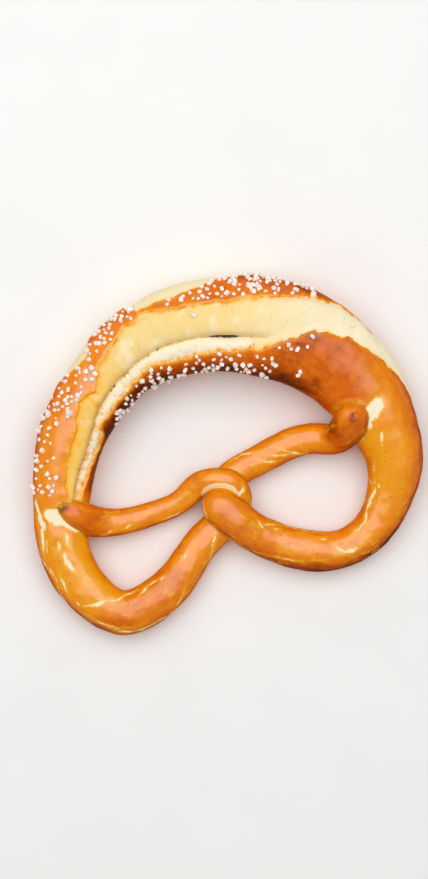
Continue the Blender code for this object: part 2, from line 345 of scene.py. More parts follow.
# Rows at angles near 0 darken the rope's low outer side: painted shade. Rows near 180 and the belly's inner
# flank at 116 darken its low inner side: painted shade together with real browning.
SCORCHES_AND_PAINTED_LIGHT: tuple[ScorchOrPaintedLight, ...] = (
    ScorchOrPaintedLight(6.0, 45.0, 42.0, 70.0, 0.20),
    ScorchOrPaintedLight(-62.0, 60.0, 40.0, 120.0, 0.05),
    ScorchOrPaintedLight(-58.0, 162.0, 66.0, 44.0, 0.42),
    ScorchOrPaintedLight(14.0, 165.0, 34.0, 42.0, 0.28),
    ScorchOrPaintedLight(46.0, 116.0, 34.0, 70.0, 0.33),
    ScorchOrPaintedLight(84.0, 150.0, 14.0, 40.0, -0.26),
    ScorchOrPaintedLight(96.0, 14.0, 70.0, 48.0, 0.20),
    ScorchOrPaintedLight(112.0, 145.0, 22.0, 38.0, -0.12),
    # Painted sheen: a lighter band along the top of the right loop.
    ScorchOrPaintedLight(103.0, 95.0, 30.0, 34.0, -0.12),
    ScorchOrPaintedLight(166.0, 30.0, 44.0, 45.0, 0.32),
    ScorchOrPaintedLight(206.0, 85.0, 20.0, 60.0, 0.14),
    ScorchOrPaintedLight(-95.0, 10.0, 30.0, 30.0, 0.12),
    ScorchOrPaintedLight(-130.0, 150.0, 14.0, 40.0, -0.16),
    ScorchOrPaintedLight(-160.0, 150.0, 30.0, 45.0, -0.16),
    ScorchOrPaintedLight(-150.0, 90.0, 26.0, 64.0, -0.14),
    ScorchOrPaintedLight(-182.0, 66.0, 9.0, 18.0, 0.14),
    ScorchOrPaintedLight(-198.0, 95.0, 26.0, 80.0, 0.16),
    ScorchOrPaintedLight(-175.0, 14.0, 40.0, 42.0, 0.20),
    ScorchOrPaintedLight(1.5, 90.0, 3.2, 60.0, 0.5, Part.LEFT_ARM),
    ScorchOrPaintedLight(9.0, 100.0, 14.0, 95.0, 0.24, Part.LEFT_ARM),
    ScorchOrPaintedLight(40.0, 170.0, 40.0, 36.0, 0.12, Part.LEFT_ARM),
    ScorchOrPaintedLight(75.0, 90.0, 12.0, 120.0, 0.22, Part.RIGHT_ARM),
    ScorchOrPaintedLight(80.0, 92.0, 1.6, 13.0, 0.24, Part.RIGHT_ARM),
    ScorchOrPaintedLight(40.0, 170.0, 40.0, 36.0, 0.12, Part.RIGHT_ARM),
    ScorchOrPaintedLight(14.0, 120.0, 8.0, 90.0, -0.14, Part.RIGHT_ARM),
)


@dataclass(frozen=True)
class Nub:
    """The pinched tip on a free end: how far in it sits, how high it stands and how wide it is."""

    inset: float
    height: float
    width: float


NUBS: dict[Part, Nub] = {Part.LEFT_ARM: Nub(2.0, 1.2, 2.0), Part.RIGHT_ARM: Nub(5.3, 1.5, 1.6)}


@dataclass
class Split:
    """The split along the belly, where the crust has burst and the crumb has risen through it."""

    outer_edge: Table = (
        (-120, 106), (-111, 97), (-98, 96), (-90, 97), (-80, 88), (-75, 81), (-68, 92), (-56, 73), (-47, 67),
        (-40, 54), (-36, 60), (-32, 48), (-26, 62), (-15, 69), (1, 69), (7, 64), (16, 58), (27, 47), (37, 32),
        (45, 14), (70, -14), (90, -8),
    )
    valley: Table = (
        (-120, 121), (-94, 133), (-87, 128), (-81, 124), (-72, 114), (-56, 112), (-41, 109), (-32, 106),
        (-15, 108), (0, 110), (22, 104), (45, 58), (90, -2),
    )
    inner_edge: Table = (
        (-120, 137), (-114, 134), (-107, 144), (-99, 150), (-91, 156), (-85, 148), (-78, 128), (-74, 134),
        (-60, 133), (-51, 132), (-44, 124), (-34, 122), (-29, 130), (0, 127), (16, 118), (21, 112), (27, 101),
        (32, 91), (38, 81), (45, 70), (52, 60), (61, 49), (69, 38), (75, 26), (90, 4),
    )
    unsplit: tuple[float, float, float] = (45.0, 90.0, 135.0)
    edge_sways: Pair = (1.5, 2.0)
    valley_room: Pair = (0.35, 0.2)
    start: float = -121.0
    end: float = 88.0
    fade: float = 5.0
    blend: float = 45.0
    flank_low: float = -38.0
    flank_top: Table = (
        (-90, -46), (-82, -30), (-74, 10), (-66, 38), (-60, 46), (-56.5, 44), (-53, 2), (-37, 2), (-33, 46),
        (-20, 48), (-15, 46), (-9, 41), (-1, 25), (4, 16), (12, -6), (21, -28), (30, -46),
    )
    flank_start: float = -86.0
    flank_end: float = 26.0
    flank_fade: float = 6.0
    flank_end_depth: float = 4.0
    flank_sways: Pair = (2.5, 1.5)
    flank_unsplit: Pair = (-35.0, 5.0)
    strip_gap: float = 2.5
    lip_rise: float = 0.45
    lip_reach: float = 2.0
    lip_drop: float = 0.75
    edge: float = 0.35
    bulge: float = 1.5
    valley_depth: float = 2.2
    valley_width: float = 1.5
    valley_to: float = 24.0
    valley_fade: float = 12.0
    torn_end: Pair = (12.0, 26.0)
    slit_depth: float = 2.6
    slit_reach: float = 7.0
    fold_at: float = -31.0
    fold_depth: float = 0.55
    fold_width: float = 0.9
    wrinkle_height: float = 0.14
    torn_height: float = 0.28

    def edges(self, place: np.ndarray) -> tuple[np.ndarray, np.ndarray, np.ndarray]:
        """Angles of the outer edge, the valley and the inner edge at each place.

        Args:
            place: Distance along the rope from the crown.

        Returns:
            The three angles at each place, in degrees.
        """
        near = window(place, self.start, self.end, self.blend)
        read = [along(table, place) for table in (self.outer_edge, self.valley, self.inner_edge)]
        outer, valley, inner = (near * e + (1 - near) * u for e, u in zip(read, self.unsplit, strict=True))
        opening = self.opening(place)
        outer = outer + opening * self.edge_sways[0] * ragged(place, 3, (11.0, 6.1, 3.3, 1.9))
        inner = inner + opening * self.edge_sways[1] * ragged(place, 5, (13.0, 7.3, 4.1, 2.3))
        width = inner - outer
        least, most = outer + self.valley_room[0] * width, inner - self.valley_room[1] * width
        return outer, np.clip(valley, least, most), inner

    def flank(self, place: np.ndarray) -> tuple[np.ndarray, np.ndarray]:
        """Angles of the low and the top edge of the crumb that shows on the outer flank.

        Args:
            place: Distance along the rope from the crown.

        Returns:
            The two angles at each place, in degrees.
        """
        near = window(place, self.flank_start, self.flank_end, self.blend)
        outer = self.edges(place)[0]
        low = self.flank_low + self.flank_sways[0] * ragged(place, 9, (17.0, 8.0, 3.7))
        top = along(self.flank_top, place) + self.flank_sways[1] * ragged(place, 8, (9.0, 5.0, 2.7))
        low, top = (near * e + (1 - near) * u for e, u in zip((low, top), self.flank_unsplit, strict=True))
        return low, np.minimum(top, outer - self.strip_gap)

    def opening(self, place: np.ndarray) -> np.ndarray:
        """How far the split is open at each place, from 0 to 1."""
        return window(place, self.start + self.fade, self.end - self.fade, self.fade)

    def flank_opening(self, place: np.ndarray) -> np.ndarray:
        """How far the flank's crumb shows at each place, from 0 to 1."""
        return window(place, self.flank_start, self.flank_end, self.flank_fade)

    def crumb_depth(self, place: np.ndarray, angle: np.ndarray, radius: np.ndarray) -> np.ndarray:
        """How far inside an open split a point lies, in millimetres, and negative on the crust.

        Args:
            place: Distance along the rope from the crown.
            angle: Angle round the rope.
            radius: The rope's radius there, which turns angles into lengths.

        Returns:
            The distance to the nearest edge.
        """
        outer, _, inner = self.edges(place)
        low, top = self.flank(place)
        main = np.minimum(angle - outer, inner - angle) * np.radians(radius)
        main = np.minimum(main, (self.opening(place) - 0.5) * 2 * self.fade)
        side = np.minimum(angle - low, top - angle) * np.radians(radius)
        side = np.minimum(side, (self.flank_opening(place) - 0.5) * 2 * self.flank_end_depth)
        return np.maximum(main, side)

    def relief(
        self, place: np.ndarray, angle: np.ndarray, radius: np.ndarray, spots: np.ndarray
    ) -> np.ndarray:
        """How much the split raises or lowers the surface.

        Args:
            place: Distance along the rope from the crown.
            angle: Angle round the rope.
            radius: The rope's radius there.
            spots: The plain surface points, for the crumb's own unevenness.

        Returns:
            Heights in millimetres.
        """
        outer, valley, inner = self.edges(place)
        opening = self.opening(place)
        depth = self.crumb_depth(place, angle, radius)
        inside = eased(depth, -self.edge, self.edge)
        opened = np.maximum(opening, self.flank_opening(place))
        lip = self.lip_rise * np.exp(-np.maximum(-depth, 0) / self.lip_reach) * opened
        risen = np.clip((angle - outer) / (valley - outer), 0, 1)
        torn = np.clip((angle - valley) / (inner - valley), 0, 1)
        deep = 1 - eased(place, self.valley_to - self.valley_fade, self.valley_to)
        groove = np.exp(-(np.abs(angle - valley) * np.radians(radius) / self.valley_width) ** 1.3)
        slit = self.slit_depth * np.exp(-((place / self.slit_reach) ** 4))
        across = np.sin(np.pi * risen) * (risen < 1)
        wrinkles = self.wrinkle_height * lumps(spots * np.array([1.0, 0.45, 0.6]), 5.0, 2.0)
        rough = self.torn_height * lumps(spots, 2.2, 4.0) * (torn > 0.05) * (torn < 0.95)
        fold = self.fold_depth * np.exp(-(((place - self.fold_at) / self.fold_width) ** 2))
        fold = fold * window(angle, 52.0, 92.0, 10.0)
        crumb = self.bulge * across + wrinkles - fold - self.lip_drop + rough * deep
        crumb = crumb - groove * (self.valley_depth + slit) * deep
        return lip * (1 - inside) + crumb * inside * np.where(depth > 0, 1.0, 0.6)


@dataclass
class Strand:
    """One stretch of the rope as a dense closed loft, with what the finish needs to know at each corner."""

    part: Part
    stations: Stations
    crown: int | None = None
    ring_gap: float = 0.9
    rows: int = 64
    height_share: float = 0.95
    height_loss: float = 0.007
    roundness: float = 2.2
    sag: float = 0.2
    sag_lift: float = 3.0
    flat_edge: float = 65.0
    dome_rings: int = 14
    tear_reach: float = 4.0
    tear_depth: float = 0.12
    tear_rim: Pair = (0.5, 1.5)
    nub_angle: float = 95.0
    dimple_depth: float = 0.55
    dimple_width: float = 0.6
    plain_bake: float = 0.36
    patch_rim: Pair = (0.35, 1.3)
    unevenness: tuple[tuple[float, float, float], ...] = (
        (0.35, 24.0, 1.0),
        (0.20, 7.0, 3.0),
        (0.07, 2.5, 5.0),
    )
    far: float = 30.0
    split: Split = field(default_factory=Split)

    def __post_init__(self) -> None:
        """Reads the stations as smooth curves, ring by ring."""
        rows = np.array(self.stations)
        widths = rows[:, 2]
        rows = np.column_stack([rows, 2 * widths * (self.height_share - self.height_loss * widths)])
        knots = np.concatenate([[0.0], np.cumsum(np.hypot(*np.diff(rows[:, :2], axis=0).T))])
        length, start, end = knots[-1], widths[0], widths[-1]
        dome = 1 - np.cos(np.linspace(0, math.pi / 2, self.dome_rings))
        count = round((length - start - end) / self.ring_gap)
        body = np.linspace(start, length - end, count)
        self.run = np.concatenate([start * dome[:-1], body, length - end * dome[-2::-1]])
        dense = natural_cubic(knots, rows, self.run)
        self.widths, self.heights = dense[:, 2], dense[:, 4]
        self.lifts = np.maximum(dense[:, 3], 0.0)
        near_start, near_end = np.clip(self.run / start, 0, 1), np.clip((length - self.run) / end, 0, 1)
        self.shares = np.sqrt(1 - (1 - near_start) ** 2) * np.sqrt(1 - (1 - near_end) ** 2)
        self.middle = np.column_stack([dense[:, :2], self.lifts + 0.5 * self.heights])
        self.place = self.run - (0.0 if self.crown is None else knots[self.crown])
        heading = np.gradient(self.middle, self.run, axis=0)
        heading /= np.linalg.norm(heading, axis=1, keepdims=True)
        side = np.column_stack([-heading[:, 1], heading[:, 0], np.zeros(len(heading))])
        self.side = side / np.linalg.norm(side, axis=1, keepdims=True)
        self.rise = np.cross(heading, self.side)
        self.radius = 0.5 * (self.widths + 0.5 * self.heights)

    def angles(self) -> np.ndarray:
        """Angles round each ring, gathered at the split's edges where the strand has them.

        Returns:
            One row of angles for each ring, in degrees.
        """
        rings = len(self.run)
        if self.crown is None:
            return np.tile(np.linspace(-90, 270, self.rows), (rings, 1))
        place = self.place
        outer, valley, inner = self.split.edges(place)
        low, top = self.split.flank(place)
        step = np.degrees(self.split.edge / self.radius)
        full = np.full(rings, 1.0)
        marks = [
            (-90 * full, 3), (-self.flat_edge * full, 6), (low - step, 1), (low, 1), (low + step, 7),
            (top - step, 1), (top, 1), (top + step, 11), (outer - 1.5 * step, 1), (outer, 1),
            (outer + step, 15), (valley - 2 * step, 2), (valley, 2), (valley + 2 * step, 6),
            (inner - step, 1), (inner, 1), (inner + 1.5 * step, 22), ((180 + self.flat_edge) * full, 3),
            (270 * full, 0),
        ]
        columns = []
        for (here, rows), (after, _) in zip(marks, marks[1:], strict=False):
            columns += [here + (after - here) * k / rows for k in range(rows)]
        columns.append(marks[-1][0])
        return np.maximum.accumulate(np.column_stack(columns), axis=1)

    def surface(self, angles: np.ndarray, relief: np.ndarray | float = 0.0) -> np.ndarray:
        """Points on the rope, one for each ring and angle.

        Args:
            angles: One row of angles for each ring.
            relief: Height over the plain rope at each point.

        Returns:
            Points in millimetres, never below the tray.
        """
        turn = np.radians(angles)
        power = 2 / self.roundness
        out = np.sign(np.cos(turn)) * np.abs(np.cos(turn)) ** power
        up = np.sign(np.sin(turn)) * np.abs(np.sin(turn)) ** power
        lying = 1 - eased(self.lifts, 0.0, self.sag_lift)
        half = 0.5 * (self.shares * self.heights)[:, None] * (1 + self.sag * lying[:, None] * (up < 0))
        relief = relief * self.shares[:, None]
        across = ((self.shares * self.widths)[:, None] + relief) * out
        tall = (half + relief) * up
        spots = self.middle[:, None] + self.side[:, None] * across[..., None]
        spots = spots + self.rise[:, None] * tall[..., None]
        spots[..., 2] = np.maximum(spots[..., 2], 0.0)
        return spots

    def pattern_spots(self, angles: np.ndarray) -> np.ndarray:
        """The points as they would lie on a straight rope, for patterns that follow the dough.

        Args:
            angles: One row of angles for each ring.

        Returns:
            Points in millimetres.
        """
        turn = np.radians(angles)
        length = np.broadcast_to((self.place + self.part.value)[:, None], angles.shape)
        out = self.widths[:, None] * np.cos(turn)
        up = 0.5 * self.heights[:, None] * np.sin(turn)
        return np.stack([length, out, up], axis=-1)

    def tear_frame(self, tear: Tear) -> tuple[Vector, Matrix]:
        """Where a tear lies on the straight rope, and its turned axes.

        Args:
            tear: A tear on this strand.

        Returns:
            Its centre in millimetres, and a matrix whose columns run along it, across it and out of it.
        """
        ring = int(np.abs(self.place - tear.place).argmin())
        turn = math.radians(tear.angle)
        width, half = self.widths[ring], 0.5 * self.heights[ring]
        centre = Vector((tear.place + self.part.value, width * math.cos(turn), half * math.sin(turn)))
        around = Vector((0, -width * math.sin(turn), half * math.cos(turn))).normalized()
        ahead, lean = Vector((1, 0, 0)), math.radians(tear.tilt)
        long_way = ahead * math.cos(lean) + around * math.sin(lean)
        out = ahead.cross(around)
        return centre, Matrix((long_way, out.cross(long_way), out)).transposed()

    def tear_places(self, spots: np.ndarray) -> np.ndarray:
        """Where straight-rope points lie in each tear's own axes.

        Args:
            spots: Points on the straight rope, in millimetres.

        Returns:
            For each tear, each point's place along it and across it, where 1 is its rim, and its half width.
        """
        places = []
        for tear in TEARS:
            if tear.part is self.part:
                centre, axes = self.tear_frame(tear)
                local = (spots - np.array(centre)) @ np.array(axes) / (tear.half_length, tear.half_width, 1.0)
                beyond = np.abs(local[..., 2]) > self.tear_reach
                local[beyond, 0] = np.copysign(self.far, local[beyond, 0])
                local[..., 2] = tear.half_width
                places.append(np.clip(local, -self.far, self.far))
        return np.stack(places)

    def nub(self, angles: np.ndarray) -> np.ndarray:
        """How much the pinched tip raises a free end of the rope, in millimetres.

        Args:
            angles: One row of angles for each ring.

        Returns:
            A height for each ring and angle.
        """
        nub = NUBS.get(self.part)
        if nub is None:
            return np.zeros(angles.shape)
        at_start = self.part is Part.LEFT_ARM
        near = self.place - nub.inset if at_start else self.place - self.place[-1] + nub.inset
        around = (angles - self.nub_angle) * np.radians(self.radius[:, None])
        gap = np.hypot(near[:, None], around)
        dimple_gap = np.hypot(near[:, None] - nub.width, around)
        dimple = np.exp(-((dimple_gap / (self.dimple_width * nub.width)) ** 2))
        return nub.height * (np.exp(-((gap / nub.width) ** 2)) - self.dimple_depth * dimple)

    def build(self) -> bpy.types.Object:
        """Models the strand from a grid, wrapped round the rope's rings and closed at both ends.

        Returns:
            The strand, with its pattern attributes on its face corners.
        """
        angles = self.angles()
        plain = self.surface(angles)
        pattern = self.pattern_spots(angles)
        place, radius = self.place[:, None], self.radius[:, None]
        relief = sum(height * lumps(plain, size, seed) for height, size, seed in self.unevenness)
        tear_places = self.tear_places(pattern)
        tear_gaps = np.linalg.norm(tear_places[..., :2], axis=-1)
        relief = relief - self.tear_depth * (1 - eased(tear_gaps.min(axis=0), *self.tear_rim))
        relief = relief + self.nub(angles)
        crumb = np.full(angles.shape, -self.far)
        torn = np.zeros(angles.shape)
        if self.crown is not None:
            relief = relief + self.split.relief(place, angles, radius, plain)
            crumb = self.split.crumb_depth(place, angles, radius)
            outer, valley, inner = self.split.edges(place)
            torn = (angles - valley) * np.radians(radius) * (angles < inner) * self.split.opening(place)
            torn = torn - self.far * eased(place, *self.split.torn_end)
        spots = self.surface(angles, relief)
        rope = self._wrapped_grid(spots)
        corner = np.zeros(len(rope.data.loops), int)
        rope.data.loops.foreach_get("vertex_index", corner)
        rings = len(self.run)
        ring, row = corner % rings, corner // rings
        self._write(rope, "rope", pattern[ring, row] * MM)
        self._write(rope, "crumb", crumb[ring, row] * MM)
        self._write(rope, "torn", torn[ring, row] * MM)
        # The crust's darkness, including painted shade and a painted sheen.
        self._write(rope, "bake_and_painted_light", self.bake_and_painted_light_levels(angles)[ring, row])
        face_gaps = tear_gaps[:, ring, row].reshape(len(tear_gaps), -1, 4).mean(axis=-1)
        nearest = np.repeat(face_gaps.argmin(axis=0), 4)
        self._write(rope, "tear", tear_places[nearest, ring, row])
        self.close(rope)
        return rope

    def bake_and_painted_light_levels(self, angles: np.ndarray) -> np.ndarray:
        """How dark the crust is, from 0 to 1: how it baked, with painted shade on the rope's low sides and a
        painted sheen on the right loop.

        Args:
            angles: One row of angles for each ring.

        Returns:
            A level for each ring and angle.
        """
        place = self.place[:, None]
        level = np.full(angles.shape, self.plain_bake)
        for patch in SCORCHES_AND_PAINTED_LIGHT:
            if patch.part is self.part:
                along_it = ((place - patch.place) / patch.half_length) ** 2
                around_it = ((angles - patch.angle) / patch.half_angle) ** 2
                level += patch.change * (1 - eased(np.sqrt(along_it + around_it), *self.patch_rim))
        return level

    def _wrapped_grid(self, spots: np.ndarray) -> bpy.types.Object:
        """A grid primitive with one vertex for each spot.

        Args:
            spots: Points in millimetres, ring by ring.

        Returns:
            The grid, still open at its seam.
        """
        rings, rows = spots.shape[:2]
        bpy.ops.object.select_all(action="DESELECT")
        cuts = {"x_subdivisions": rings - 1, "y_subdivisions": rows - 1}
        bpy.ops.mesh.primitive_grid_add(size=1, calc_uvs=False, **cuts)
        rope = bpy.context.object
        rope.name = rope.data.name = self.part.name.lower()
        rope.data.vertices.foreach_set("co", (spots.transpose(1, 0, 2) * MM).ravel())
        rope.data.update()
        return rope

    @staticmethod
    def _write(rope: bpy.types.Object, name: str, values: np.ndarray) -> None:
        """Stores one value or vector for each face corner.

        Args:
            rope: The strand.
            name: The attribute's name.
            values: One row for each face corner.
        """
        kind, key = ("FLOAT_VECTOR", "vector") if values.ndim > 1 else ("FLOAT", "value")
        layer = rope.data.attributes.new(name, kind, "CORNER")
        layer.data.foreach_set(key, values.astype(np.float32).ravel())

    @staticmethod
    def close(rope: bpy.types.Object) -> None:
        """Merges the seam and the poles, and turns the faces outwards.

        Args:
            rope: The strand.
        """
        select_only(rope)
        bpy.ops.object.mode_set(mode="EDIT")
        bpy.ops.mesh.select_all(action="SELECT")
        bpy.ops.mesh.remove_doubles(threshold=1e-7)
        bpy.ops.mesh.normals_make_consistent(inside=False)
        bpy.ops.object.mode_set(mode="OBJECT")


@dataclass
class Dough:
    """The whole pretzel's dough: the strands fused where they cross and touch."""

    name: str = "dough"
    origin: tuple[float, float, float] = (0.124, -0.656, 0.0)
    seam_jump: float = 20.0
    seam_reach: float = 30.0
    crease_reach: float = 0.9
    sharp_angle: float = 50.0
    strands: dict[Part, Strand] = field(
        default_factory=lambda: {
            Part.SIDES: Strand(Part.SIDES, LEFT_SIDE + RIGHT_SIDE, crown=len(LEFT_SIDE)),
            Part.LEFT_ARM: Strand(Part.LEFT_ARM, LEFT_ARM, ring_gap=0.7),
            Part.RIGHT_ARM: Strand(Part.RIGHT_ARM, RIGHT_ARM, ring_gap=0.7),
        }
    )

    def build(self) -> bpy.types.Object:
        """Models every strand and fuses them.

        Returns:
            The dough, with its place in its mesh.
        """
        dough, *arms = (strand.build() for strand in self.strands.values())
        dough.name = dough.data.name = self.name
        others = bpy.data.collections.new("arms")
        for arm in arms:
            others.objects.link(arm)
        fuse = dough.modifiers.new("fuse", "BOOLEAN")
        fuse.operation, fuse.operand_type, fuse.collection = "UNION", "COLLECTION", others
        fuse.solver, fuse.use_self = "EXACT", True
        select_only(dough)
        bpy.ops.object.modifier_apply(modifier=fuse.name)
        for arm in arms:
            bpy.data.objects.remove(arm)
        bpy.data.collections.remove(others)
        dough.location = Vector(self.origin) * MM
        bpy.ops.object.transform_apply(location=True)
        self.mark_seams(dough)
        self.soften_creases(dough)
        self.mark_facing(dough)
        bpy.ops.object.shade_smooth_by_angle(angle=math.radians(self.sharp_angle))
        return dough

    def mark_seams(self, dough: bpy.types.Object) -> None:
        """Stores each vertex's distance to the nearest crease between strands.

        Args:
            dough: The fused dough.
        """
        mesh = dough.data
        rope = np.zeros(len(mesh.loops) * 3)
        mesh.attributes["rope"].data.foreach_get("vector", rope)
        corner = np.zeros(len(mesh.loops), int)
        mesh.loops.foreach_get("vertex_index", corner)
        length = rope.reshape(-1, 3)[:, 0]
        low = np.full(len(mesh.vertices), np.inf)
        high = -low
        np.minimum.at(low, corner, length)
        np.maximum.at(high, corner, length)
        creases = np.flatnonzero(high - low > self.seam_jump * MM)
        tree = KDTree(len(creases))
        for index in creases:
            tree.insert(mesh.vertices[index].co, int(index))
        tree.balance()
        far = self.seam_reach * MM
        gaps = [min(tree.find(v.co)[2], far) for v in mesh.vertices]
        mesh.attributes.new("seam", "FLOAT", "POINT").data.foreach_set("value", np.array(gaps, np.float32))
        log.info("%s: %d crease points", self.name, len(creases))

    def soften_creases(self, dough: bpy.types.Object) -> None:
        """Rounds the sharp creases a little, as dough that has grown together.

        Args:
            dough: The fused dough, with its distances to the creases.
        """
        gaps = np.zeros(len(dough.data.vertices))
        dough.data.attributes["seam"].data.foreach_get("value", gaps)
        select_only(dough)
        bpy.ops.object.mode_set(mode="EDIT")
        bpy.ops.mesh.select_all(action="DESELECT")
        bpy.ops.object.mode_set(mode="OBJECT")
        dough.data.vertices.foreach_set("select", gaps < self.crease_reach * MM)
        bpy.ops.object.mode_set(mode="EDIT")
        bpy.ops.mesh.select_mode(type="VERT")
        bpy.ops.mesh.vertices_smooth(factor=0.5, repeat=2)
        bpy.ops.object.mode_set(mode="OBJECT")

    def mark_facing(self, dough: bpy.types.Object) -> None:
        """Stores how far each point of the dough faces up.

        Args:
            dough: The fused dough.
        """
        turn = np.zeros(len(dough.data.vertices) * 3)
        dough.data.vertices.foreach_get("normal", turn)
        up = turn.reshape(-1, 3)[:, 2].astype(np.float32)
        dough.data.attributes.new("upward", "FLOAT", "POINT").data.foreach_set("value", up)


@dataclass(frozen=True)
class SaltZone:
    """A stretch of the belly that salt was strewn on: from, to, least and most angle, and how many grains."""

    start: float
    end: float
    low: float
    high: float
    count: int
    on_crumb: bool = False


@dataclass
class Salt:
    """Coarse salt: bevelled crystals, each a little different, half bedded in the crust."""

    name: str = "salt"
    seed: int = 11
    kinds: int = 7
    least: float = 1.0
    most: float = 2.1
    bevel: float = 0.17
    unevenness: float = 0.17
    stretch: Pair = (0.72, 1.2)
    sunk: float = 0.22
    lean: float = 0.9
    turn_seed: int = 111
    gap: float = 0.8
    edge_gap: float = 0.6
    tries: int = 400
    zones: tuple[SaltZone, ...] = (
        SaltZone(-118.0, -84.0, 14.0, 84.0, 40),
        SaltZone(-84.0, -58.0, 20.0, 84.0, 36),
        SaltZone(-58.0, -34.0, 0.0, 60.0, 36),
        SaltZone(-24.0, 34.0, -8.0, 66.0, 84),
        SaltZone(2.0, 30.0, -6.0, 30.0, 14),
        SaltZone(-76.0, -28.0, 124.0, 176.0, 36),
        SaltZone(-28.0, 26.0, 124.0, 166.0, 42),
        SaltZone(20.0, 44.0, 84.0, 140.0, 9),
        SaltZone(-20.0, 20.0, 70.0, 90.0, 1, True),
    )

    def crystal(self, kind: int) -> bpy.types.Object:
        """Models one kind of crystal: a cube with bevelled, uneven corners.

        Args:
            kind: Number of the kind, which seeds its shape.

        Returns:
            The crystal, about one unit wide.
        """
        draw = np.random.default_rng(self.seed + kind)
        bpy.ops.object.select_all(action="DESELECT")
        bpy.ops.mesh.primitive_cube_add(size=1)
        grain = bpy.context.object
        bpy.ops.object.mode_set(mode="EDIT")
        bpy.ops.mesh.bevel(offset=self.bevel, segments=1, affect="EDGES")
        bpy.ops.transform.vertex_random(offset=self.unevenness, seed=self.seed + kind)
        bpy.ops.transform.resize(value=tuple(draw.uniform(*self.stretch, 3)))
        bpy.ops.mesh.normals_make_consistent(inside=False)
        bpy.ops.object.mode_set(mode="OBJECT")
        return grain

    def spots(self, dough: bpy.types.Object, sides: Strand) -> list[tuple[Vector, Vector]]:
        """Draws the crystals' places on the finished dough.

        Args:
            dough: The finished dough.
            sides: The strand that the belly belongs to.

        Returns:
            A point on the dough and its normal for each crystal.
        """
        draw = np.random.default_rng(self.seed)
        tree = BVHTree.FromObject(dough, bpy.context.evaluated_depsgraph_get())
        origin = dough_origin()
        found: list[tuple[Vector, Vector]] = []
        for zone in self.zones:
            left = zone.count
            for _ in range(self.tries):
                if not left:
                    break
                place, angle = draw.uniform(zone.start, zone.end), draw.uniform(zone.low, zone.high)
                ring = int(np.abs(sides.place - place).argmin())
                angles = np.full(len(sides.run), angle)
                depth = sides.split.crumb_depth(sides.place, angles, sides.radius)[ring]
                if (depth > -self.edge_gap) != zone.on_crumb:
                    continue
                plain = sides.surface(angles[:, None])[ring, 0]
                spot, normal, _, _ = tree.find_nearest(Vector(plain) * MM + origin)
                if all((spot - other).length > self.gap * self.most * MM for other, _ in found):
                    found.append((spot, normal))
                    left -= 1
        return found

    def build(self, dough: bpy.types.Object, sides: Strand) -> bpy.types.Object:
        """Strews the crystals and joins them.

        Args:
            dough: The finished dough.
            sides: The strand that the belly belongs to.

        Returns:
            The salt, as one piece.
        """
        draw = np.random.default_rng(self.turn_seed)
        kinds = [self.crystal(kind) for kind in range(self.kinds)]
        grains = []
        for spot, normal in self.spots(dough, sides):
            kind = kinds[draw.integers(self.kinds)]
            grain = kind.copy()
            grain.data = kind.data.copy()
            bpy.context.collection.objects.link(grain)
            size = draw.uniform(self.least, self.most) * MM
            tilts = draw.uniform(-self.lean, self.lean, 2)
            turn = Euler((*tilts, draw.uniform(0, math.tau))).to_matrix()
            stand = normal.to_track_quat("Z", "Y").to_matrix() @ turn
            place = Matrix.Translation(spot + normal * size * (0.5 - self.sunk))
            grain.matrix_world = place @ stand.to_4x4() @ Matrix.Scale(size, 4)
            grains.append(grain)
        for kind in kinds:
            bpy.data.objects.remove(kind)
        bpy.context.view_layer.update()
        select_only(*grains)
        bpy.ops.object.join()
        salt = bpy.context.object
        salt.name = salt.data.name = self.name
        bpy.ops.object.transform_apply(location=True, rotation=True, scale=True)
        log.info("%s: %d crystals", self.name, len(grains))
        return salt


def dough_origin() -> Vector:
    """Where the rope's route is measured from, in the part's frame."""
    return Vector(Dough.origin) * MM


def paint(red: float, green: float, blue: float) -> tuple[float, float, float, float]:
    """A colour as seen, from 0 to 255 each, as the linear colour that shaders use."""
    shares = (value / 255 for value in (red, green, blue))
    return (*(s / 12.92 if s <= 0.04045 else ((s + 0.055) / 1.055) ** 2.4 for s in shares), 1.0)


